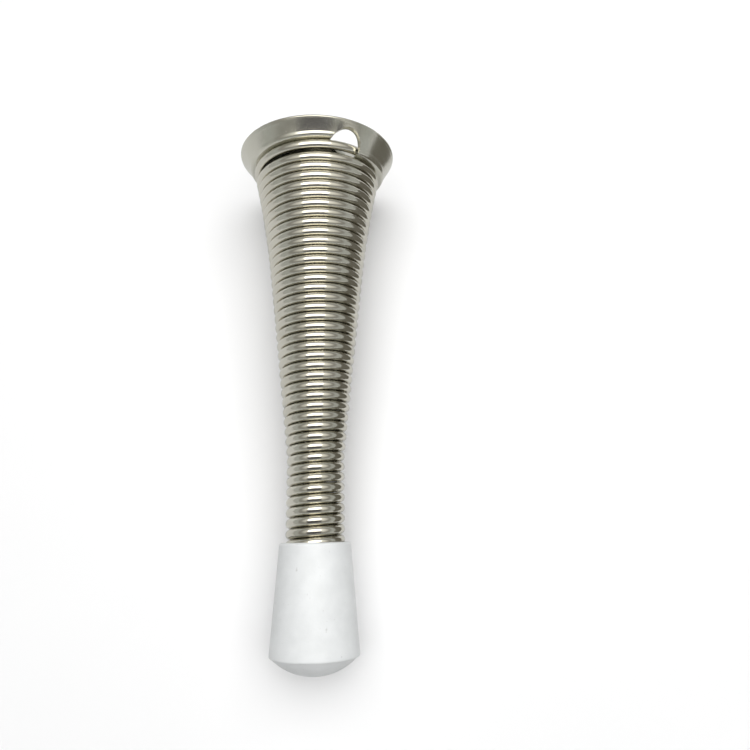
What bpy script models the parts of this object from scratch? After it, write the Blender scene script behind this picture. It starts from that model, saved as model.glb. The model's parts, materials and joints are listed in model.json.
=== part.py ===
"""Spring door stop: a pressed steel base that a wood screw holds to the wall, a close-wound
conical spring threaded into it, and a rubber bumper pushed over the spring's narrow end.

Frame: the wall is the plane y = 0, the stop points along -Y, +Z is up, and the origin is the
centre of the base's rim on the wall. "Depth" is the distance from the wall, so y = -depth.
The angle around the axis runs from +X (0 degrees) through +Z (90 degrees).
"""
import math

import bmesh
import bpy

# Overall sizes, in metres
STOP_LENGTH = 0.079375          # from the wall to the end of the bumper
RIM_REACH = 0.00165             # how far the rim stands out past the bend of the base

# Wire and spring, in metres
WIRE_DIAMETER = 0.00142
COIL_GAP = 0.00005              # between neighbouring turns, which all but touch
TIP_COIL_RADIUS = 0.00356       # mean radius of the straight turns at the narrow end
SEAT_COIL_RADIUS = 0.0097       # mean radius of the widest turns, at the base
STRAIGHT_LENGTH = 0.0200        # the straight turns, measured from the spring's narrow end
WIDEST_DEPTH = 0.0034           # depth where the cone reaches its widest turns
FLARE_START = 0.0225            # depth where the cone begins to flare
FLARE_RATE = 3.23               # extra radius per squared metre of depth, per metre
INNER_TURNS = 0.75              # turns held behind the ledge, inside the base
WALL_CLEARANCE = 0.00085        # between the wire's inner end and the wall
POINTS_PER_TURN = 12
WIRE_BEVEL_RESOLUTION = 2       # gives an eight-sided wire
STRETCH_GAP = 0.0003            # gap between two stretches of the wire

# Bending joints of the spring
FIRST_PIVOT_DEPTH = 0.0090
LAST_PIVOT_TO_BUMPER = 0.0110
PIVOT_COUNT = 8

# Base, in metres
SHEET_THICKNESS = 0.00042
RIM_LAND = 0.0008               # width of the flat ring that lies on the wall
RIM_EDGE = 0.00016              # flat top of the rim's edge, outside the wall of the base
LEDGE_CLEARANCE = 0.00005       # between the ledge and the wire on either side of it
BEND_ALLOWANCE = 0.00064        # from the widest turn out to the outside of the bend
BEND_FOOT = 0.00012             # the bend's first point, outside the bend radius
BEND_MIDDLE = 0.00010           # its second, inside the bend radius
BEND_TOP = 0.00042              # and its third, where the ledge begins
LEDGE_REACH = 0.0015            # from the widest mean radius in to the ledge's inner edge
HUB_SLOPE_WIDTH = 0.0015
HUB_SLOPE_OFFSET = 0.0002       # between the two faces of the slope, so that it keeps its thickness
HUB_DEPTH = 0.0015              # face of the hub that the screw head presses on
SCREW_HOLE_RADIUS = 0.0023
BASE_SEGMENTS = 60

# Notch that lets the wire through the ledge
NOTCH_ANGLE = math.radians(61.6)
NOTCH_MARGIN = 0.00164          # from the wire's surface to the notch's edge
NOTCH_OFFSET = 0.00035          # notch centre past the wire's centre, towards the tip
NOTCH_END_MARGIN = 0.0003       # how far the notch cuts in past the ledge's inner edge
STEP_HALF_ANGLE = math.radians(8.0)   # the ledge steps back inside the notch
NOTCH_SEGMENTS = 24

# Bumper, in metres
BUMPER_LENGTH = 0.0150          # from the lip to the corner of the nose
BUMPER_DOME = 0.002375          # height of the domed nose
BUMPER_GRIP = 0.0080            # length of the spring inside the bumper
BUMPER_CORNER_RADIUS = 0.00624
BUMPER_LIP_WALL = 0.00065       # wall of the bumper at its lip
BUMPER_EDGE = 0.00030
BORE_CLEARANCE = 0.00020
BORE_END_CLEARANCE = 0.00030
BUMPER_SEGMENTS = 40
CAP_STEPS = 6

# Sizes and places that follow from those above
TURN = 2 * math.pi
WIRE_RADIUS = WIRE_DIAMETER / 2
COIL_PITCH = WIRE_DIAMETER + COIL_GAP
SEAT_PITCH = WIRE_DIAMETER + SHEET_THICKNESS + 2 * LEDGE_CLEARANCE
SEAT_DEPTH = (1 + INNER_TURNS) * SEAT_PITCH + WIRE_RADIUS + WALL_CLEARANCE
BUMPER_CORNER_DEPTH = STOP_LENGTH - BUMPER_DOME
BUMPER_START = BUMPER_CORNER_DEPTH - BUMPER_LENGTH
SPRING_END_DEPTH = BUMPER_START + BUMPER_GRIP
TAPER_START = SPRING_END_DEPTH - STRAIGHT_LENGTH
WIDEST_FLARE = FLARE_RATE * (FLARE_START - WIDEST_DEPTH) ** 2
TAPER_RATE = (SEAT_COIL_RADIUS - TIP_COIL_RADIUS - WIDEST_FLARE) / (TAPER_START - WIDEST_DEPTH)
PIVOT_SPACING = (BUMPER_START - LAST_PIVOT_TO_BUMPER - FIRST_PIVOT_DEPTH) / (PIVOT_COUNT - 1)
BEND_RADIUS = SEAT_COIL_RADIUS + WIRE_RADIUS + BEND_ALLOWANCE
RIM_RADIUS = BEND_RADIUS + RIM_REACH
LEDGE_INNER_RADIUS = SEAT_COIL_RADIUS - LEDGE_REACH
HUB_RADIUS = LEDGE_INNER_RADIUS - HUB_SLOPE_WIDTH
NOTCH_RADIUS = WIRE_RADIUS + NOTCH_MARGIN
NOTCH_CENTRE_DEPTH = SEAT_DEPTH - SEAT_PITCH + NOTCH_OFFSET
NOTCH_INNER_REACH = LEDGE_INNER_RADIUS - NOTCH_END_MARGIN
NOTCH_OUTER_REACH = RIM_RADIUS + RIM_REACH
BORE_RADIUS = TIP_COIL_RADIUS + WIRE_RADIUS + BORE_CLEARANCE
BUMPER_LIP_RADIUS = BORE_RADIUS + BUMPER_LIP_WALL


def clear_scene():
    """Remove whatever the scene starts with."""
    for obj in list(bpy.data.objects):
        bpy.data.objects.remove(obj, do_unlink=True)


def make_collection(name):
    """A new collection in the scene."""
    collection = bpy.data.collections.new(name)
    bpy.context.scene.collection.children.link(collection)
    return collection


def make_material(name, colour, roughness, metallic):
    """A Principled material."""
    material = bpy.data.materials.new(name)
    material.use_nodes = True
    shader = material.node_tree.nodes["Principled BSDF"]
    shader.inputs["Base Color"].default_value = (*colour, 1.0)
    shader.inputs["Roughness"].default_value = roughness
    shader.inputs["Metallic"].default_value = metallic
    return material


def link_object(name, data, collection, location=(0.0, 0.0, 0.0), parent=None):
    """An object at a place in its parent's frame."""
    obj = bpy.data.objects.new(name, data)
    collection.objects.link(obj)
    obj.location = location
    obj.parent = parent
    return obj


def evaluated_mesh(obj):
    """The object's mesh with its modifiers or its curve bevel applied, and its seams welded."""
    graph = bpy.context.evaluated_depsgraph_get()
    mesh = bpy.data.meshes.new_from_object(obj.evaluated_get(graph))
    work = bmesh.new()
    work.from_mesh(mesh)
    bmesh.ops.remove_doubles(work, verts=work.verts, dist=1e-6)
    bmesh.ops.recalc_face_normals(work, faces=work.faces)
    work.to_mesh(mesh)
    work.free()
    return mesh


def shade(mesh, degrees):
    """Smooth shading with sharp edges above an angle."""
    mesh.shade_smooth()
    mesh.set_sharp_from_angle(angle=math.radians(degrees))


def turned_mesh(name, profile, segments, closed):
    """A profile of (radius, depth) points turned about the stop's axis."""
    mesh = bpy.data.meshes.new(name)
    count = len(profile)
    edges = [(i, i + 1) for i in range(count - 1)]
    if closed:
        edges.append((count - 1, 0))
    mesh.from_pydata([(radius, -depth, 0.0) for radius, depth in profile], edges, [])
    obj = bpy.data.objects.new(name, mesh)
    bpy.context.scene.collection.objects.link(obj)
    screw = obj.modifiers.new("turn", "SCREW")
    screw.axis = "Y"
    screw.angle = TURN
    screw.steps = segments
    screw.render_steps = segments
    screw.use_merge_vertices = True
    screw.merge_threshold = 1e-6
    turned = evaluated_mesh(obj)
    bpy.data.objects.remove(obj, do_unlink=True)
    bpy.data.meshes.remove(mesh)
    turned.name = name
    return turned


def coil_radius(depth):
    """Mean radius of the spring: straight at the tip, then a cone, then a flare to the seat."""
    cone = TAPER_RATE * max(0.0, TAPER_START - depth)
    flare = FLARE_RATE * max(0.0, FLARE_START - depth) ** 2
    return min(TIP_COIL_RADIUS + cone + flare, SEAT_COIL_RADIUS)


def wire_path():
    """Centre line of the wire from its inner end to its tip end, as (angle, depth) points.

    Behind and at the ledge the wire climbs a sheet's thickness more for each turn, so that the
    ledge fits between two turns. Past the notch angle the turns lie against each other.
    """
    step = 1.0 / POINTS_PER_TURN
    seat_steps = round((1.0 + INNER_TURNS) * POINTS_PER_TURN)
    path = []
    for i in range(-seat_steps, 1):
        turns = i * step
        path.append((NOTCH_ANGLE + TURN * turns, SEAT_DEPTH + SEAT_PITCH * turns))
    angle, depth = path[-1]
    while depth < SPRING_END_DEPTH:
        widening = coil_radius(depth) - coil_radius(depth + COIL_PITCH)
        depth += step * math.sqrt(COIL_PITCH ** 2 - widening ** 2)
        angle += step * TURN
        path.append((angle, depth))
    return path


def path_point(angle, depth):
    """Place on the wire's centre line."""
    radius = coil_radius(depth)
    return (radius * math.cos(angle), -depth, radius * math.sin(angle))


def wire_stretch(name, path, material, collection, origin_depth, parent):
    """One stretch of the wire as a closed tube, its origin on its joint's axis."""
    curve = bpy.data.curves.new(name, "CURVE")
    curve.dimensions = "3D"
    curve.bevel_depth = WIRE_RADIUS
    curve.bevel_resolution = WIRE_BEVEL_RESOLUTION
    curve.use_fill_caps = True
    spline = curve.splines.new("POLY")
    spline.points.add(len(path) - 1)
    for point, (angle, depth) in zip(spline.points, path):
        x, y, z = path_point(angle, depth)
        point.co = (x, y + origin_depth, z, 1.0)
    guide = link_object(name + "_guide", curve, collection)
    mesh = evaluated_mesh(guide)
    bpy.data.objects.remove(guide, do_unlink=True)
    bpy.data.curves.remove(curve)
    mesh.name = name
    mesh.materials.clear()
    mesh.materials.append(material)
    shade(mesh, 50)
    return link_object(name, mesh, collection, parent=parent)


def pivot_depth(number):
    """Depth of a bending joint, counted from 1 at the base."""
    return FIRST_PIVOT_DEPTH + (number - 1) * PIVOT_SPACING


def shortened(path):
    """The path with the stretch gap taken off its first end, where it meets another stretch."""
    (angle_a, depth_a), (angle_b, depth_b) = path[0], path[1]
    share = STRETCH_GAP / (coil_radius(depth_a) * abs(angle_b - angle_a))
    start = (angle_a + share * (angle_b - angle_a), depth_a + share * (depth_b - depth_a))
    return [start] + path[1:]


def build_spring(material, collection):
    """The wire as stretches, each past the first on an empty at its bending joint."""
    path = wire_path()
    cuts = [0]
    for number in range(1, PIVOT_COUNT + 1):
        nearest = min(range(len(path)), key=lambda i: abs(path[i][1] - pivot_depth(number)))
        cuts.append(nearest)
    cuts.append(len(path) - 1)
    parent = None
    parent_depth = 0.0
    for number in range(PIVOT_COUNT + 1):
        piece = path[cuts[number]:cuts[number + 1] + 1]
        if number > 0:
            piece = shortened(piece)
            depth = pivot_depth(number)
            place = (0.0, parent_depth - depth, 0.0)
            pivot = link_object(f"bend_pivot_{number}", None, collection, place, parent)
            parent = pivot
            parent_depth = depth
        name = f"spring_coils_{number + 1}"
        wire_stretch(name, piece, material, collection, parent_depth, parent)
    return parent, parent_depth


def ledge_depth(angle):
    """Depth of the ledge's face on the spring's side: one turn of thread with a step at the notch."""
    top = SEAT_DEPTH - WIRE_RADIUS - LEDGE_CLEARANCE
    behind = (NOTCH_ANGLE - angle) % TURN
    helix = top - SEAT_PITCH * behind / TURN
    if behind < STEP_HALF_ANGLE:
        share = 0.5 + 0.5 * behind / STEP_HALF_ANGLE
    elif behind > TURN - STEP_HALF_ANGLE:
        share = 0.5 - 0.5 * (TURN - behind) / STEP_HALF_ANGLE
    else:
        return helix
    high = top - SEAT_PITCH * STEP_HALF_ANGLE / TURN
    low = top - SEAT_PITCH * (TURN - STEP_HALF_ANGLE) / TURN
    return low + share * (high - low)


def base_profile():
    """Cross-section of the base as (radius, depth, share) points.

    Each depth is given for a ledge at depth 1 times the share, plus a fixed part: the rim and
    the hub have share 0 and stay flat, and the wall and the ledge rise with the thread.
    """
    thickness = SHEET_THICKNESS
    wall_thickness = 1.05 * thickness
    wall_foot = RIM_RADIUS - RIM_EDGE
    wall_middle = wall_foot - 0.45 * (wall_foot - BEND_RADIUS)
    outer = [
        (RIM_RADIUS, 0.0, 0.0),
        (RIM_RADIUS, thickness * 0.8, 0.0),
        (wall_foot, thickness * 0.8, 0.10),
        (wall_middle, 0.0, 0.46),
        (BEND_RADIUS + BEND_FOOT, 0.0, 0.78),
        (BEND_RADIUS - BEND_MIDDLE, 0.0, 0.93),
        (BEND_RADIUS - BEND_TOP, 0.0, 1.0),
        (LEDGE_INNER_RADIUS - HUB_SLOPE_OFFSET, 0.0, 1.0),
        (HUB_RADIUS, HUB_DEPTH, 0.0),
        (SCREW_HOLE_RADIUS, HUB_DEPTH, 0.0),
    ]
    inner = [
        (SCREW_HOLE_RADIUS, HUB_DEPTH - thickness, 0.0),
        (HUB_RADIUS + HUB_SLOPE_OFFSET, HUB_DEPTH - thickness, 0.0),
        (LEDGE_INNER_RADIUS, -thickness, 1.0),
        (BEND_RADIUS - wall_thickness, -thickness, 1.0),
        (BEND_RADIUS - 0.4 * wall_thickness, -0.6 * thickness, 0.70),
        (wall_middle - wall_thickness, 0.0, 0.34),
        (RIM_RADIUS - RIM_LAND, 0.0, 0.0),
    ]
    return outer + inner


def build_base(material, parts, cutters):
    """The base: a turned sheet whose ledge is bent into one turn of thread, cut by the notch."""
    profile = base_profile()
    row_spacing = 0.01    # each row of the profile is turned at a depth of its own, to be told by it
    rows = [(radius, row * row_spacing) for row, (radius, depth, share) in enumerate(profile)]
    turned = turned_mesh("base_flange", rows, BASE_SEGMENTS, True)
    for vertex in turned.vertices:
        row = round(-vertex.co.y / row_spacing)
        depth, share = profile[row][1:]
        angle = math.atan2(vertex.co.z, vertex.co.x)
        vertex.co.y = -(depth + share * ledge_depth(angle))
    orient = bmesh.new()
    orient.from_mesh(turned)
    bmesh.ops.recalc_face_normals(orient, faces=orient.faces)
    orient.to_mesh(turned)
    orient.free()
    turned.materials.append(material)
    base = link_object("base_flange", turned, parts)

    cutter_mesh = bpy.data.meshes.new("notch_cutter")
    length = NOTCH_OUTER_REACH - NOTCH_INNER_REACH
    shape = bmesh.new()
    bmesh.ops.create_cone(shape, cap_ends=True, segments=NOTCH_SEGMENTS, radius1=NOTCH_RADIUS,
                          radius2=NOTCH_RADIUS, depth=length)
    shape.to_mesh(cutter_mesh)
    shape.free()
    middle = (NOTCH_OUTER_REACH + NOTCH_INNER_REACH) / 2
    place = (middle * math.cos(NOTCH_ANGLE), -NOTCH_CENTRE_DEPTH, middle * math.sin(NOTCH_ANGLE))
    cutter = link_object("notch_cutter", cutter_mesh, cutters, place)
    cutter.rotation_euler = (0.0, math.pi / 2 - NOTCH_ANGLE, 0.0)
    cutter.hide_render = True
    cutter.display_type = "WIRE"
    cut = base.modifiers.new("notch", "BOOLEAN")
    cut.operation = "DIFFERENCE"
    cut.object = cutter
    shade(turned, 35)
    return base


def bumper_profile():
    """Half section of the bumper, from the middle of its nose round to the bottom of its bore."""
    bore_end = SPRING_END_DEPTH + WIRE_RADIUS + BORE_END_CLEARANCE
    cap_radius = BUMPER_CORNER_RADIUS - BUMPER_EDGE
    sphere = (cap_radius ** 2 + BUMPER_DOME ** 2) / (2 * BUMPER_DOME)
    half_angle = math.asin(cap_radius / sphere)
    nose = []
    for i in range(CAP_STEPS + 1):
        angle = half_angle * i / CAP_STEPS
        nose.append((sphere * math.sin(angle), STOP_LENGTH - sphere * (1 - math.cos(angle))))
    side = [
        (BUMPER_CORNER_RADIUS, BUMPER_CORNER_DEPTH - BUMPER_EDGE),
        (BUMPER_LIP_RADIUS, BUMPER_START + BUMPER_EDGE / 2),
        (BUMPER_LIP_RADIUS - BUMPER_EDGE / 2, BUMPER_START),
        (BORE_RADIUS, BUMPER_START),
        (BORE_RADIUS, bore_end),
        (0.0, bore_end),
    ]
    return nose + side


def build_bumper(material, collection, parent, parent_depth):
    """The rubber bumper, its origin at the centre of its lip, riding on the last stretch."""
    profile = [(radius, depth - BUMPER_START) for radius, depth in bumper_profile()]
    mesh = turned_mesh("bumper", profile, BUMPER_SEGMENTS, False)
    mesh.materials.append(material)
    shade(mesh, 35)
    return link_object("bumper", mesh, collection, (0.0, parent_depth - BUMPER_START, 0.0), parent)


def main():
    """Build the whole stop."""
    clear_scene()
    parts = make_collection("spring_door_stop")
    cutters = make_collection("cutters")
    satin_nickel = make_material("satin_nickel_sheet", (0.50, 0.48, 0.43), 0.35, 1.0)
    bright_nickel = make_material("bright_nickel_wire", (0.62, 0.60, 0.54), 0.18, 1.0)
    rubber = make_material("white_rubber", (0.80, 0.80, 0.79), 0.60, 0.0)
    build_base(satin_nickel, parts, cutters)
    last_pivot, last_depth = build_spring(bright_nickel, parts)
    build_bumper(rubber, parts, last_pivot, last_depth)
    bpy.context.view_layer.update()


main()
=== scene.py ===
"""Looks of the spring door stop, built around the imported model.

Frame: metres, the wall is the plane y = 0 and the stop points along -Y, with +Z up. "Depth" is
the distance from the wall, so y = -depth. The angle around the axis runs from +X through +Z.
"""
import json
import math

import bmesh
import bpy
from mathutils import Matrix, Vector

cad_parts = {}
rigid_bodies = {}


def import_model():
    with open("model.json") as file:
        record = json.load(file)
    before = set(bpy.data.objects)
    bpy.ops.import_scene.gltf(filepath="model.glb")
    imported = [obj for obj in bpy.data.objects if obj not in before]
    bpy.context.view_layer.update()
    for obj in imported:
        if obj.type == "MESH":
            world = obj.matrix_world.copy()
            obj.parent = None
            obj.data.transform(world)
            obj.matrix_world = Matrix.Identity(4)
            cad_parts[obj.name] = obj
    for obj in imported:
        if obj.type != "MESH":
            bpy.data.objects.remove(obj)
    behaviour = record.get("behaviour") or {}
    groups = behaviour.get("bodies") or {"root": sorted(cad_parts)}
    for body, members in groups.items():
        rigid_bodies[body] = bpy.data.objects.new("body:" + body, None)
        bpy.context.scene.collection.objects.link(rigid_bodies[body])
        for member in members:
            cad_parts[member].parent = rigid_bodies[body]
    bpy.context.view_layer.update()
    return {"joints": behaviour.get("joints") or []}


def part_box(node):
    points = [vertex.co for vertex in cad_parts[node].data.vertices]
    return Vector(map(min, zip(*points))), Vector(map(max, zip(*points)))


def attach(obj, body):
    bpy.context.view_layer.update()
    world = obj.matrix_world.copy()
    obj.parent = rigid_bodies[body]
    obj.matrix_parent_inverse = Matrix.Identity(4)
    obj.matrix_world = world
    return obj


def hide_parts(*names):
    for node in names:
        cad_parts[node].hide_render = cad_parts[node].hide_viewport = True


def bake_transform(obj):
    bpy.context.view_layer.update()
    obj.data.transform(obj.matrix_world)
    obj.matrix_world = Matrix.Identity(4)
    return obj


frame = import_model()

TURN = 2 * math.pi
SMOOTH_ANGLE_WIRE = 60          # degrees, above which an edge stays sharp
SMOOTH_ANGLE_BASE = 40
SMOOTH_ANGLE_BUMPER = 50

# The wire and the spring, as the CAD model has them
WIRE_RADIUS = 0.00071
COIL_GAP = 0.00005              # between neighbouring turns, which all but touch
TIP_COIL_RADIUS = 0.00356
SEAT_COIL_RADIUS = 0.0097
STRAIGHT_LENGTH = 0.0200        # the straight turns, measured from the spring's narrow end
WIDEST_DEPTH = 0.0034           # depth where the cone reaches its widest turns
FLARE_START = 0.0225            # depth where the cone begins to flare
FLARE_RATE = 3.23               # extra radius per squared metre of depth, per metre
INNER_TURNS = 0.75              # turns held behind the ledge, inside the base
WALL_CLEARANCE = 0.00085        # between the wire's inner end and the wall
BUMPER_GRIP = 0.0080            # length of the spring inside the bumper
WIRE_STEPS = 48                 # points for each turn of the wire
WIRE_SIDES = 16

# The base
SHEET = 0.00042
RIM_LAND = 0.0008               # width of the flat ring that lies on the wall
RIM_EDGE = 0.00016              # flat top of the rim's edge, outside the wall of the base
LEDGE_CLEARANCE = 0.00005
BEND_ALLOWANCE = 0.00064        # from the widest turn out to the outside of the bend
BEND_FOOT = 0.00012             # where the bend begins, outside the bend radius
BEND_TOP = 0.00045              # and where it meets the ledge, inside that radius
WALL_BOW = 0.00006              # how far the wall bows in between the rim and the bend
LEDGE_REACH = 0.0015
LEDGE_ROUNDING = 0.0003         # where the ledge turns down into the hub's slope
HUB_SLOPE_WIDTH = 0.0015
HUB_SLOPE_OFFSET = 0.0002       # between the two faces of the slope, so that it keeps its thickness
HUB_DEPTH = 0.0015
SCREW_HOLE_RADIUS = 0.0023
SCREW_HOLE_CHAMFER = 0.0001
NOTCH_ANGLE = math.radians(61.6)
NOTCH_RADIUS = 0.00235
NOTCH_OFFSET = 0.00035          # notch centre past the wire's centre, towards the tip
NOTCH_ROUNDING = 0.00006
STEP_HALF_ANGLE = math.radians(8.0)
NOTCH_END_MARGIN = 0.0003       # how far the notch cuts in past the ledge's inner edge
CUTTER_OVERHANG = 0.002         # how far its cutter stands out past the rim
NOTCH_SEGMENTS = 96
NOTCH_TOLERANCE = 1e-5          # distance from its cylinder at which a point counts as on it
NOTCH_WELD = 2e-6
NOTCH_SHARP_ANGLE = math.radians(35)
BASE_SEGMENTS = 240

# The bumper
BUMPER_DOME = 0.002375
BUMPER_LIP_WALL = 0.00065
BUMPER_CORNER_FILLET = 0.00030
BUMPER_LIP_FILLET = 0.00040
BORE_CLEARANCE = 0.00020
BORE_END_CLEARANCE = 0.00030
BORE_CHAMFER = 0.0001
BUMPER_SEGMENTS = 160

# The camera, the floor and the lighting
CAMERA_PLACE = (0.00856, -0.06147, 0.10049)
CAMERA_TILT = math.radians(16.36)    # from straight down, towards the base
CAMERA_TURN = math.radians(-1.07)
CAMERA_LENS = 32.27
CAMERA_SHIFT = -0.0467
FLOOR_SIZE = 3.0
FLOOR_DROP = 0.00006            # below the rim's lowest point
FLOOR_WHITE = 0.90
REFLECTED_DROP = 0.00001        # of the greyer copy of the floor that the metal sees in its place, painted shade in the metal's reflections
# whiteness of that copy: darker than the floor, so the metal reflects painted shade
REFLECTED_SHADE_WHITE = 0.66
CEILING_REACH = 0.16            # where the glow of the panel has faded
GLOW_START = 0.25               # distance from the floor's centre where it starts to glow
GLOW_FULL = 0.80                # and where its glow is full
CEILING_HEIGHT = 0.110
CEILING_GLOW = (0.32, 1.46)     # at its edge and at its middle
ROOM_GLOW = 0.50
WINDOW_RADIANCE = 2.2
WINDOW_HEIGHT = 0.099
KEY_RADIANCE = 2.95
KEY_HEIGHT = 0.450
CARD_GLOW = 0.13
NEIGHBOUR_GLOW = 0.17
NEIGHBOUR_RADIUS = 0.0090
NEIGHBOUR_TIP_RADIUS = 0.0060
NEIGHBOUR_LENGTH = 0.07

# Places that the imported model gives
RIM_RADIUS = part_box("base_flange")[1].x
BUMPER_END = -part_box("bumper")[0].y
BUMPER_START = -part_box("bumper")[1].y
BUMPER_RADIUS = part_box("bumper")[1].x
HINGES = [joint for joint in frame["joints"] if joint["type"] == "hinge"]
PIVOTS = [-joint["pos_m"][1] for joint in HINGES]

COIL_PITCH = 2 * WIRE_RADIUS + COIL_GAP
SEAT_PITCH = 2 * WIRE_RADIUS + SHEET + 2 * LEDGE_CLEARANCE
SEAT_DEPTH = (1 + INNER_TURNS) * SEAT_PITCH + WIRE_RADIUS + WALL_CLEARANCE
SPRING_END_DEPTH = BUMPER_START + BUMPER_GRIP
TAPER_START = SPRING_END_DEPTH - STRAIGHT_LENGTH
WIDEST_FLARE = FLARE_RATE * (FLARE_START - WIDEST_DEPTH) ** 2
TAPER_RATE = (SEAT_COIL_RADIUS - TIP_COIL_RADIUS - WIDEST_FLARE) / (TAPER_START - WIDEST_DEPTH)
BEND_RADIUS = SEAT_COIL_RADIUS + WIRE_RADIUS + BEND_ALLOWANCE
LEDGE_INNER_RADIUS = SEAT_COIL_RADIUS - LEDGE_REACH
HUB_RADIUS = LEDGE_INNER_RADIUS - HUB_SLOPE_WIDTH
BORE_RADIUS = TIP_COIL_RADIUS + WIRE_RADIUS + BORE_CLEARANCE


# ---------------------------------------------------------------- meshes

def new_piece(name, mesh, material):
    """A mesh object in the scene with its material and record slot."""
    piece = bpy.data.objects.new(name, mesh)
    bpy.context.scene.collection.objects.link(piece)
    mesh.materials.clear()
    mesh.materials.append(material)
    return piece


def grid_mesh(name, rows, wrap_rows, wrap_columns):
    """A mesh over rows of points, each row as long as the next."""
    mesh = bpy.data.meshes.new(name)
    columns = len(rows[0])
    faces = []
    for i in range(len(rows) if wrap_rows else len(rows) - 1):
        j = (i + 1) % len(rows)
        for a in range(columns if wrap_columns else columns - 1):
            b = (a + 1) % columns
            faces.append((i * columns + a, i * columns + b, j * columns + b, j * columns + a))
    mesh.from_pydata([point for row in rows for point in row], [], faces)
    return mesh


def tidy_mesh(mesh, sharp_degrees):
    """Weld doubles, turn the faces outwards, and shade smooth with sharp edges."""
    work = bmesh.new()
    work.from_mesh(mesh)
    bmesh.ops.remove_doubles(work, verts=work.verts, dist=1e-7)
    bmesh.ops.recalc_face_normals(work, faces=work.faces)
    work.to_mesh(mesh)
    work.free()
    mesh.shade_smooth()
    mesh.set_sharp_from_angle(angle=math.radians(sharp_degrees))


def arc(centre, radius, start, end, steps):
    """Points on an arc in the (radius, depth) plane, angles in degrees."""
    points = []
    for i in range(steps + 1):
        angle = math.radians(start + (end - start) * i / steps)
        points.append((centre[0] + radius * math.cos(angle), centre[1] + radius * math.sin(angle)))
    return points


def bezier(points, steps):
    """Points along a Bezier curve of any order, each with as many numbers as its handles."""
    curve = []
    for i in range(steps + 1):
        t = i / steps
        level = [tuple(point) for point in points]
        while len(level) > 1:
            level = [tuple(a + (b - a) * t for a, b in zip(p, q)) for p, q in zip(level, level[1:])]
        curve.append(level[0])
    return curve


# ---------------------------------------------------------------- spring

def coil_radius(depth):
    """Mean radius of the spring: straight at the tip, then a cone, then a flare to the seat."""
    cone = TAPER_RATE * max(0.0, TAPER_START - depth)
    flare = FLARE_RATE * max(0.0, FLARE_START - depth) ** 2
    return min(TIP_COIL_RADIUS + cone + flare, SEAT_COIL_RADIUS)


def wire_path():
    """Centre line of the whole wire from its inner end to its tip end, as (angle, depth)."""
    step = 1.0 / WIRE_STEPS
    seat_steps = round((1.0 + INNER_TURNS) * WIRE_STEPS)
    path = []
    for i in range(-seat_steps, 1):
        turns = i * step
        path.append((NOTCH_ANGLE + TURN * turns, SEAT_DEPTH + SEAT_PITCH * turns))
    angle, depth = path[-1]
    while depth < SPRING_END_DEPTH:
        widening = coil_radius(depth) - coil_radius(depth + COIL_PITCH)
        depth += step * math.sqrt(COIL_PITCH ** 2 - widening ** 2)
        angle += step * TURN
        path.append((angle, depth))
    return path


def wire_rings(path):
    """A ring of points around the wire at each point of its path."""
    centres = []
    for angle, depth in path:
        radius = coil_radius(depth)
        centres.append(Vector((radius * math.cos(angle), -depth, radius * math.sin(angle))))
    rings = []
    for i, centre in enumerate(centres):
        before = centres[max(i - 1, 0)]
        after = centres[min(i + 1, len(centres) - 1)]
        tangent = (after - before).normalized()
        outwards = Vector((centre.x, 0.0, centre.z))
        outwards = (outwards - tangent * outwards.dot(tangent)).normalized()
        along = tangent.cross(outwards)
        ring = []
        for side in range(WIRE_SIDES):
            turn = TURN * side / WIRE_SIDES
            offset = outwards * math.cos(turn) + along * math.sin(turn)
            ring.append(centre + WIRE_RADIUS * offset)
        rings.append(ring)
    return rings


def wire_piece(number, rings, material):
    """One stretch of the wire, closed at both ends."""
    name = f"spring_wire_{number}"
    mesh = grid_mesh(name, rings, False, True)
    work = bmesh.new()
    work.from_mesh(mesh)
    work.verts.ensure_lookup_table()
    last = len(work.verts) - WIRE_SIDES
    work.faces.new([work.verts[i] for i in range(WIRE_SIDES)])
    work.faces.new([work.verts[last + i] for i in range(WIRE_SIDES)])
    work.to_mesh(mesh)
    work.free()
    tidy_mesh(mesh, SMOOTH_ANGLE_WIRE)
    return new_piece(name, mesh, material)


def build_spring(material):
    """The wire, cut under the spring midway between its bending joints.

    The first stretch is held by the base and the last by the bumper. The stretches between
    are fixed where they lie and follow no body.
    """
    path = wire_path()
    rings = wire_rings(path)
    half = (PIVOTS[1] - PIVOTS[0]) / 2
    middles = [PIVOTS[0] - half] + [pivot + half for pivot in PIVOTS]
    cuts = []
    for middle in middles:
        near = [i for i, point in enumerate(path) if abs(point[1] - middle) < COIL_PITCH]
        cuts.append(min(near, key=lambda i: math.sin(path[i][0])))
    ends = [0] + cuts + [len(path) - 1]
    for number in range(len(ends) - 1):
        piece = wire_piece(number + 1, rings[ends[number]:ends[number + 1] + 1], material)
        if number == 0:
            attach(piece, HINGES[0]["parent"])
            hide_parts("spring_coils_1")
        elif number <= len(HINGES):
            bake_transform(piece)
            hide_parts(f"spring_coils_{number + 1}")
        else:
            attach(piece, HINGES[-1]["child"])


# ---------------------------------------------------------------- base

def ledge_depth(angle):
    """Depth of the ledge's face on the spring's side: one turn of thread with a step at the notch."""
    top = SEAT_DEPTH - WIRE_RADIUS - LEDGE_CLEARANCE
    behind = (NOTCH_ANGLE - angle) % TURN
    if behind < STEP_HALF_ANGLE:
        share = 0.5 + 0.5 * behind / STEP_HALF_ANGLE
    elif behind > TURN - STEP_HALF_ANGLE:
        share = 0.5 - 0.5 * (TURN - behind) / STEP_HALF_ANGLE
    else:
        return top - SEAT_PITCH * behind / TURN
    high = top - SEAT_PITCH * STEP_HALF_ANGLE / TURN
    low = top - SEAT_PITCH * (TURN - STEP_HALF_ANGLE) / TURN
    return low + share * (high - low)


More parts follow.
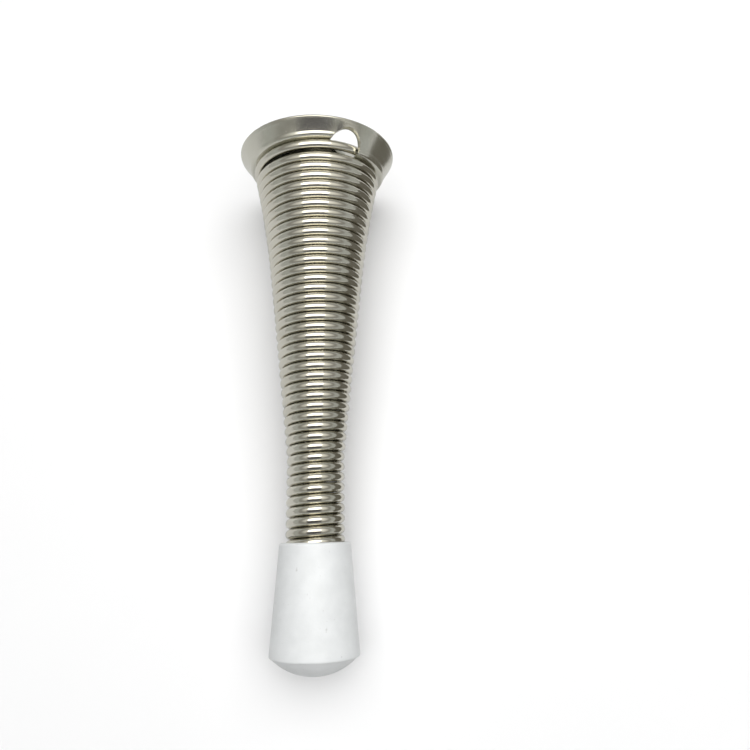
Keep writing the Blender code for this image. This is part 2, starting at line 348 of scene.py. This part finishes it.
def base_rows():
    """Cross-section of the base as (radius, depth, share of the ledge's depth) points."""
    edge = 0.8 * SHEET
    rounding = 0.3 * SHEET
    foot = RIM_RADIUS - RIM_EDGE
    bend = BEND_RADIUS + BEND_FOOT
    top = BEND_RADIUS - BEND_TOP
    middle = 0.55 * foot + 0.45 * bend
    rim = [(RIM_RADIUS - RIM_LAND, 0.0)]
    rim += arc((RIM_RADIUS - rounding, rounding), rounding, -90, 0, 4)
    rim += arc((RIM_RADIUS - rounding, edge - rounding), rounding, 0, 60, 3)
    outer = [(radius, depth, 0.0) for radius, depth in rim]
    outer += bezier([(foot, edge, 0.06), (middle - WALL_BOW, 0.1 * edge, 0.42), (bend, 0.0, 0.78)], 14)
    outer += bezier([(bend, 0.0, 0.78), (bend - 0.00013, 0.0, 0.98), (top, 0.0, 1.0)], 8)[1:]
    outer += [(LEDGE_INNER_RADIUS + LEDGE_ROUNDING, 0.0, 1.0)]
    slope_top = LEDGE_INNER_RADIUS - LEDGE_ROUNDING - HUB_SLOPE_OFFSET
    outer += bezier([(LEDGE_INNER_RADIUS, 0.0, 1.0), (LEDGE_INNER_RADIUS - LEDGE_ROUNDING, 0.0, 1.0),
                     (slope_top, 0.25 * HUB_DEPTH, 0.75)], 4)
    outer += [(HUB_RADIUS + HUB_SLOPE_OFFSET, 0.9 * HUB_DEPTH, 0.1)]
    outer += [(HUB_RADIUS - HUB_SLOPE_OFFSET, HUB_DEPTH, 0.0)]
    outer += [(SCREW_HOLE_RADIUS + SCREW_HOLE_CHAMFER, HUB_DEPTH, 0.0)]
    outer += [(SCREW_HOLE_RADIUS, HUB_DEPTH - SCREW_HOLE_CHAMFER, 0.0)]
    inner = [
        (SCREW_HOLE_RADIUS, HUB_DEPTH - SHEET, 0.0),
        (HUB_RADIUS, HUB_DEPTH - SHEET, 0.0),
        (HUB_RADIUS + 2 * HUB_SLOPE_OFFSET, 0.9 * HUB_DEPTH - SHEET, 0.1),
        (LEDGE_INNER_RADIUS - HUB_SLOPE_OFFSET, 0.25 * HUB_DEPTH - SHEET, 0.75),
        (LEDGE_INNER_RADIUS + HUB_SLOPE_OFFSET / 2, -SHEET, 1.0),
    ]
    side = 1.05 * SHEET
    inner += bezier([(bend - 1.7 * side, -SHEET, 1.0), (bend - 1.1 * side, -SHEET, 1.0),
                     (bend - side, 0.0, 0.62)], 5)
    inner += bezier([(bend - side, 0.0, 0.62), (middle - side, 0.0, 0.34),
                     (RIM_RADIUS - RIM_LAND, 0.0, 0.0)], 6)[1:-1]
    return outer + inner


def notch_cutter(outwards, centre_depth):
    """A cylinder along the notch, from inside the ledge to beyond the rim."""
    inner_reach = LEDGE_INNER_RADIUS - NOTCH_END_MARGIN
    outer_reach = RIM_RADIUS + CUTTER_OVERHANG
    mesh = bpy.data.meshes.new("notch_cutter")
    work = bmesh.new()
    bmesh.ops.create_cone(work, cap_ends=True, segments=NOTCH_SEGMENTS, radius1=NOTCH_RADIUS,
                          radius2=NOTCH_RADIUS, depth=outer_reach - inner_reach)
    work.to_mesh(mesh)
    work.free()
    place = outwards * (inner_reach + outer_reach) / 2 - Vector((0.0, centre_depth, 0.0))
    mesh.transform(Matrix.Translation(place) @ outwards.to_track_quat("Z", "Y").to_matrix().to_4x4())
    return mesh


def subtract(mesh, cutter_mesh):
    """A new mesh: the first one less the second."""
    cutter = bpy.data.objects.new("notch_cutter", cutter_mesh)
    blank = bpy.data.objects.new("base_blank", mesh)
    for obj in (cutter, blank):
        bpy.context.scene.collection.objects.link(obj)
    cut = blank.modifiers.new("notch", "BOOLEAN")
    cut.operation = "DIFFERENCE"
    cut.solver = "EXACT"
    cut.object = cutter
    graph = bpy.context.evaluated_depsgraph_get()
    result = bpy.data.meshes.new_from_object(blank.evaluated_get(graph))
    for obj in (cutter, blank):
        bpy.data.objects.remove(obj)
    return result


def round_notch(mesh, outwards, centre_depth):
    """Round the sharp edges that lie on the notch's cylinder."""
    centre = Vector((0.0, -centre_depth, 0.0))

    def on_notch(point):
        """Whether a point lies on the cylinder."""
        offset = point - centre
        reach = (offset - outwards * offset.dot(outwards)).length
        return abs(reach - NOTCH_RADIUS) < NOTCH_TOLERANCE

    work = bmesh.new()
    work.from_mesh(mesh)
    bmesh.ops.remove_doubles(work, verts=work.verts, dist=NOTCH_WELD)
    edges = []
    for edge in work.edges:
        beside = all(on_notch(vert.co) for vert in edge.verts)
        if beside and edge.is_manifold and edge.calc_face_angle() > NOTCH_SHARP_ANGLE:
            edges.append(edge)
    bmesh.ops.bevel(work, geom=edges, offset=NOTCH_ROUNDING, segments=2, affect="EDGES", profile=0.5,
                    clamp_overlap=True)
    work.to_mesh(mesh)
    work.free()


def cut_notch(mesh):
    """Cut the notch that the wire passes through, and round its edges."""
    centre_depth = SEAT_DEPTH - SEAT_PITCH + NOTCH_OFFSET
    outwards = Vector((math.cos(NOTCH_ANGLE), 0.0, math.sin(NOTCH_ANGLE)))
    result = subtract(mesh, notch_cutter(outwards, centre_depth))
    round_notch(result, outwards, centre_depth)
    return result


def build_base(material):
    """The pressed sheet base: a turned section whose ledge is one turn of thread."""
    rows = []
    for radius, depth, share in base_rows():
        row = []
        for i in range(BASE_SEGMENTS):
            angle = TURN * i / BASE_SEGMENTS
            y = -(depth + share * ledge_depth(angle))
            row.append((radius * math.cos(angle), y, radius * math.sin(angle)))
        rows.append(row)
    mesh = grid_mesh("base", rows, True, True)
    tidy_mesh(mesh, SMOOTH_ANGLE_BASE)
    mesh = cut_notch(mesh)
    mesh.name = "base"
    tidy_mesh(mesh, SMOOTH_ANGLE_BASE)
    piece = new_piece("base", mesh, material)
    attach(piece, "base")
    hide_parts("base_flange")


# ---------------------------------------------------------------- bumper

def build_bumper(material):
    """The rubber bumper: a tapered cap with a domed nose and a bore for the spring."""
    corner_depth = BUMPER_END - BUMPER_DOME
    lip_radius = BORE_RADIUS + BUMPER_LIP_WALL
    cap_radius = BUMPER_RADIUS - BUMPER_CORNER_FILLET
    sphere = (cap_radius ** 2 + BUMPER_DOME ** 2) / (2 * BUMPER_DOME)
    half_angle = math.degrees(math.asin(cap_radius / sphere))
    profile = arc((0.0, BUMPER_END - sphere), sphere, 90, 90 - half_angle, 24)
    fillet = BUMPER_CORNER_FILLET
    profile += arc((BUMPER_RADIUS - fillet, corner_depth - fillet), fillet, 70, 5, 5)[1:]
    lip = BUMPER_LIP_FILLET
    profile += bezier([(BUMPER_RADIUS, corner_depth - 1.2 * fillet),
                       (lip_radius, BUMPER_START + 1.2 * lip)], 16)
    profile += arc((lip_radius - lip, BUMPER_START + lip), lip, 0, -90, 5)[1:]
    bore_end = SPRING_END_DEPTH + WIRE_RADIUS + BORE_END_CLEARANCE
    profile += [(BORE_RADIUS + BORE_CHAMFER, BUMPER_START), (BORE_RADIUS, BUMPER_START + BORE_CHAMFER)]
    profile += [(BORE_RADIUS, bore_end), (0.0, bore_end)]
    rows = []
    for radius, depth in profile:
        angles = [TURN * i / BUMPER_SEGMENTS for i in range(BUMPER_SEGMENTS)]
        rows.append([(radius * math.cos(a), -depth, radius * math.sin(a)) for a in angles])
    mesh = grid_mesh("rubber_bumper", rows, False, True)
    tidy_mesh(mesh, SMOOTH_ANGLE_BUMPER)
    piece = new_piece("rubber_bumper", mesh, material)
    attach(piece, "bumper")
    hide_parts("bumper")


# ---------------------------------------------------------------- materials

class Maker:
    """Adds nodes to a material and links them."""

    def __init__(self, name):
        self.material = bpy.data.materials.new(name)
        self.material.use_nodes = True
        self.nodes = self.material.node_tree.nodes
        self.links = self.material.node_tree.links
        self.shader = self.nodes["Principled BSDF"]
        self.place = self.nodes.new("ShaderNodeTexCoord").outputs["Object"]

    def stretched(self, scale):
        """The object's coordinates, stretched."""
        mapping = self.nodes.new("ShaderNodeMapping")
        mapping.inputs["Scale"].default_value = scale
        self.links.new(self.place, mapping.inputs["Vector"])
        return mapping.outputs["Vector"]

    def noise(self, size, detail=3.0, place=None):
        """Noise whose lumps are about this size, in metres."""
        node = self.nodes.new("ShaderNodeTexNoise")
        node.inputs["Scale"].default_value = 1.0 / size
        node.inputs["Detail"].default_value = detail
        self.links.new(place or self.place, node.inputs["Vector"])
        return node.outputs["Fac"]

    def ranged(self, value, low, high, start, end):
        """The value, mapped from low..high to start..end."""
        node = self.nodes.new("ShaderNodeMapRange")
        self.links.new(value, node.inputs["Value"])
        for name, number in (("From Min", low), ("From Max", high), ("To Min", start), ("To Max", end)):
            node.inputs[name].default_value = number
        return node.outputs["Result"]

    def mixed(self, share, first, second):
        """Two colours, or a colour and a socket, mixed by a share."""
        node = self.nodes.new("ShaderNodeMix")
        node.data_type = "RGBA"
        self.links.new(share, node.inputs["Factor"])
        for index, colour in ((6, first), (7, second)):
            if isinstance(colour, tuple):
                node.inputs[index].default_value = (*colour, 1.0)
            else:
                self.links.new(colour, node.inputs[index])
        return node.outputs[2]

    def bump(self, height, distance, strength):
        """Bump from a height, linked to the shader."""
        node = self.nodes.new("ShaderNodeBump")
        node.inputs["Distance"].default_value = distance
        node.inputs["Strength"].default_value = strength
        self.links.new(height, node.inputs["Height"])
        self.links.new(node.outputs["Normal"], self.shader.inputs["Normal"])

    def set(self, name, value):
        """A socket of the shader, from a number or another node."""
        if isinstance(value, (int, float)):
            self.shader.inputs[name].default_value = value
        else:
            self.links.new(value, self.shader.inputs[name])


def wire_material():
    """Bright nickel plate on drawn wire: faint streaks along the wire and small dull patches."""
    make = Maker("bright_nickel_wire")
    streaks = make.noise(0.0016, 4.0, make.stretched((1.0, 9.0, 1.0)))
    patches = make.noise(0.0045, 3.0)
    make.set("Base Color", make.mixed(make.ranged(patches, 0.35, 0.65, 0.0, 1.0),
                                      (0.66, 0.64, 0.565), (0.61, 0.59, 0.512)))
    make.set("Metallic", 1.0)
    make.set("Roughness", make.ranged(streaks, 0.3, 0.7, 0.09, 0.17))
    make.bump(make.noise(0.0004, 3.0, make.stretched((1.0, 5.0, 1.0))), 0.000012, 0.35)
    return make.material


def sheet_material():
    """Satin nickel plate on pressed sheet: fine orange peel and soft clouds of tone."""
    make = Maker("satin_nickel_sheet")
    clouds = make.noise(0.0035, 3.0)
    grain = make.noise(0.00022, 3.0)
    make.set("Base Color", make.mixed(make.ranged(clouds, 0.35, 0.65, 0.0, 1.0),
                                      (0.635, 0.625, 0.555), (0.585, 0.575, 0.50)))
    make.set("Metallic", 1.0)
    make.set("Roughness", make.ranged(grain, 0.25, 0.75, 0.19, 0.28))
    make.bump(grain, 0.000008, 0.15)
    return make.material


def rubber_material():
    """White moulded rubber: faint mottling, fine grain and a few specks of dirt."""
    make = Maker("white_rubber")
    mottle = make.noise(0.0022, 4.0)
    specks = make.noise(0.0006, 2.0)
    clean = make.mixed(make.ranged(mottle, 0.3, 0.7, 0.0, 1.0), (0.745, 0.76, 0.76), (0.69, 0.705, 0.705))
    make.set("Base Color", make.mixed(make.ranged(specks, 0.70, 0.78, 0.0, 0.5), clean,
                                      (0.45, 0.45, 0.43)))
    make.set("Roughness", make.ranged(mottle, 0.3, 0.7, 0.42, 0.58))
    make.bump(make.noise(0.0003, 4.0), 0.00002, 0.5)
    return make.material


def floor_material(name, white):
    """Matt floor, from a name and its whiteness, with the faintest unevenness.

    It glows from GLOW_START outwards, where the key light no longer reaches it.
    """
    make = Maker(name)
    shade = 0.96 * white
    make.set("Base Color", make.mixed(make.noise(0.05, 2.0), (shade, shade, shade), (white, white, white)))
    make.set("Roughness", 0.9)
    make.set("Specular IOR Level", 0.1)
    make.shader.inputs["Emission Color"].default_value = (1.0, 1.0, 1.0, 1.0)
    far = make.nodes.new("ShaderNodeTexGradient")
    far.gradient_type = "SPHERICAL"
    make.links.new(make.stretched((1 / GLOW_FULL,) * 3), far.inputs["Vector"])
    make.set("Emission Strength", make.ranged(far.outputs["Fac"], 0.0, 1 - GLOW_START / GLOW_FULL,
                                              white, 0.0))
    return make.material


def glow_material(name, colour, strength):
    """Plain emission, for cards that only reflections see."""
    make = Maker(name)
    glow = make.nodes.new("ShaderNodeEmission")
    glow.inputs["Color"].default_value = (*colour, 1.0)
    glow.inputs["Strength"].default_value = strength
    make.links.new(glow.outputs["Emission"], make.nodes["Material Output"].inputs["Surface"])
    return make.material


# ---------------------------------------------------------------- floor, light and camera

def floor_plane(name, drop, white):
    """A large plane that the rim and the bumper's corner both rest on, lowered by a drop."""
    slope = (RIM_RADIUS - BUMPER_RADIUS) / (BUMPER_END - BUMPER_DOME)
    bpy.ops.mesh.primitive_plane_add(size=FLOOR_SIZE)
    floor = bpy.context.object
    floor.name = name
    floor.location = (0.0, 0.0, -RIM_RADIUS - drop)
    floor.rotation_euler = (-math.atan(slope), 0.0, 0.0)
    floor.data.materials.append(floor_material(name, white))
    return floor


def build_floor():
    """A white floor, and a greyer copy just above it that the metal reflects in its place: painted shade
    in the metal's reflections of the floor.
    """
    floor = floor_plane("floor", FLOOR_DROP, FLOOR_WHITE)
    floor.visible_glossy = False
    # a darker copy of the floor that only reflections see: painted shade on the metal
    reflected = floor_plane("shaded_floor_copy", REFLECTED_DROP, REFLECTED_SHADE_WHITE)
    reflected.visible_camera = False
    reflected.visible_diffuse = False
    reflected.visible_shadow = False


def area_light(name, low, high, height, radiance, colour, glossy, diffuse):
    """A level rectangular light facing down, given by the corners of its rectangle."""
    light = bpy.data.lights.new(name, "AREA")
    light.shape = "RECTANGLE"
    light.size = high[0] - low[0]
    light.size_y = high[1] - low[1]
    light.energy = radiance * math.pi * light.size * light.size_y
    light.color = colour
    lamp = bpy.data.objects.new(name, light)
    bpy.context.scene.collection.objects.link(lamp)
    lamp.location = ((low[0] + high[0]) / 2, (low[1] + high[1]) / 2, height)
    lamp.visible_glossy = glossy
    lamp.visible_diffuse = diffuse
    lamp.visible_camera = False


def dark_card(name, sides, near, far, height):
    """A dim card near the camera and square to its view, which the metal reflects.

    Its left and right sides are places along X, and its ends are distances from the camera.
    """
    bpy.ops.mesh.primitive_plane_add(size=1.0)
    card = bpy.context.object
    card.name = name
    middle = (near + far) / 2
    card.scale = (sides[1] - sides[0], far - near, 1.0)
    card.rotation_euler = (CAMERA_TILT, 0.0, 0.0)
    card.location = ((sides[0] + sides[1]) / 2, CAMERA_PLACE[1] - middle * math.cos(CAMERA_TILT),
                     height - middle * math.sin(CAMERA_TILT))
    card.data.materials.append(glow_material("card_dim", (0.95, 0.92, 1.0), CARD_GLOW))
    reflections_only(card)


def glowing_ceiling():
    """A level panel that only reflections see, brightest above the stop and fading outwards."""
    bpy.ops.mesh.primitive_plane_add(size=3 * CEILING_REACH)
    panel = bpy.context.object
    panel.name = "ceiling_panel"
    panel.location = (0.02, -0.02, CEILING_HEIGHT)
    make = Maker("ceiling_glow")
    make.nodes.remove(make.shader)
    glow = make.nodes.new("ShaderNodeEmission")
    ball = make.nodes.new("ShaderNodeTexGradient")
    ball.gradient_type = "SPHERICAL"
    make.links.new(make.stretched((1 / CEILING_REACH,) * 3), ball.inputs["Vector"])
    glow.inputs["Color"].default_value = (1.0, 0.985, 0.93, 1.0)
    make.links.new(make.ranged(ball.outputs["Fac"], 0.0, 1.0, *CEILING_GLOW), glow.inputs["Strength"])
    make.links.new(glow.outputs["Emission"], make.nodes["Material Output"].inputs["Surface"])
    panel.data.materials.append(make.material)
    reflections_only(panel)


def reflections_only(obj):
    """Let only reflections see a staged object."""
    obj.visible_camera = False
    obj.visible_diffuse = False
    obj.visible_transmission = False
    obj.visible_shadow = False


def build_lights():
    """Soft light from above, and what the metal reflects: a room, a window and two dim cards."""
    world = bpy.data.worlds.new("soft_room")
    world.use_nodes = True
    background = world.node_tree.nodes["Background"]
    background.inputs["Color"].default_value = (0.97, 1.0, 0.97, 1.0)
    background.inputs["Strength"].default_value = ROOM_GLOW
    world.cycles_visibility.diffuse = False
    bpy.context.scene.world = world
    area_light("window", (-0.045, -0.062), (0.050, 0.030), WINDOW_HEIGHT, WINDOW_RADIANCE,
               (1.0, 0.975, 0.92), True, False)
    area_light("key", (-0.30, -0.24), (0.42, 0.44), KEY_HEIGHT, KEY_RADIANCE,
               (1.0, 1.0, 1.0), False, True)
    glowing_ceiling()
    dark_card("camera_card", (-0.047, 0.052), 0.003, 0.113, 0.100)
    dark_card("camera_card_corner", (-0.050, 0.002), -0.006, 0.040, 0.099)
    build_neighbour()


def build_neighbour():
    """A dim cone beside the stop, where a second one would lie. Only reflections see it."""
    bpy.ops.mesh.primitive_cone_add(vertices=48, radius1=NEIGHBOUR_RADIUS,
                                    radius2=NEIGHBOUR_TIP_RADIUS, depth=NEIGHBOUR_LENGTH)
    cone = bpy.context.object
    cone.name = "neighbour_shade"
    cone.location = (0.0230, -0.035, -0.003)
    cone.rotation_euler = (math.radians(90.0), 0.0, math.radians(-6.0))
    cone.data.materials.append(glow_material("neighbour_dim", (1.0, 0.95, 0.82), NEIGHBOUR_GLOW))
    reflections_only(cone)


def build_camera():
    """The camera, close above the stop's narrow end and tilted towards its base."""
    camera = bpy.data.cameras.new("camera")
    camera.sensor_width = 36.0
    camera.lens = CAMERA_LENS
    camera.shift_y = CAMERA_SHIFT
    camera.clip_start = 0.005
    camera.clip_end = 20.0
    eye = bpy.data.objects.new("camera", camera)
    bpy.context.scene.collection.objects.link(eye)
    eye.location = CAMERA_PLACE
    eye.rotation_euler = (CAMERA_TILT, 0.0, CAMERA_TURN)
    bpy.context.scene.camera = eye
    bpy.context.scene.view_settings.view_transform = "Standard"


def main():
    """Build everything."""
    build_camera()
    build_spring(wire_material())
    build_base(sheet_material())
    build_bumper(rubber_material())
    build_floor()
    build_lights()
    bpy.context.view_layer.update()


main()
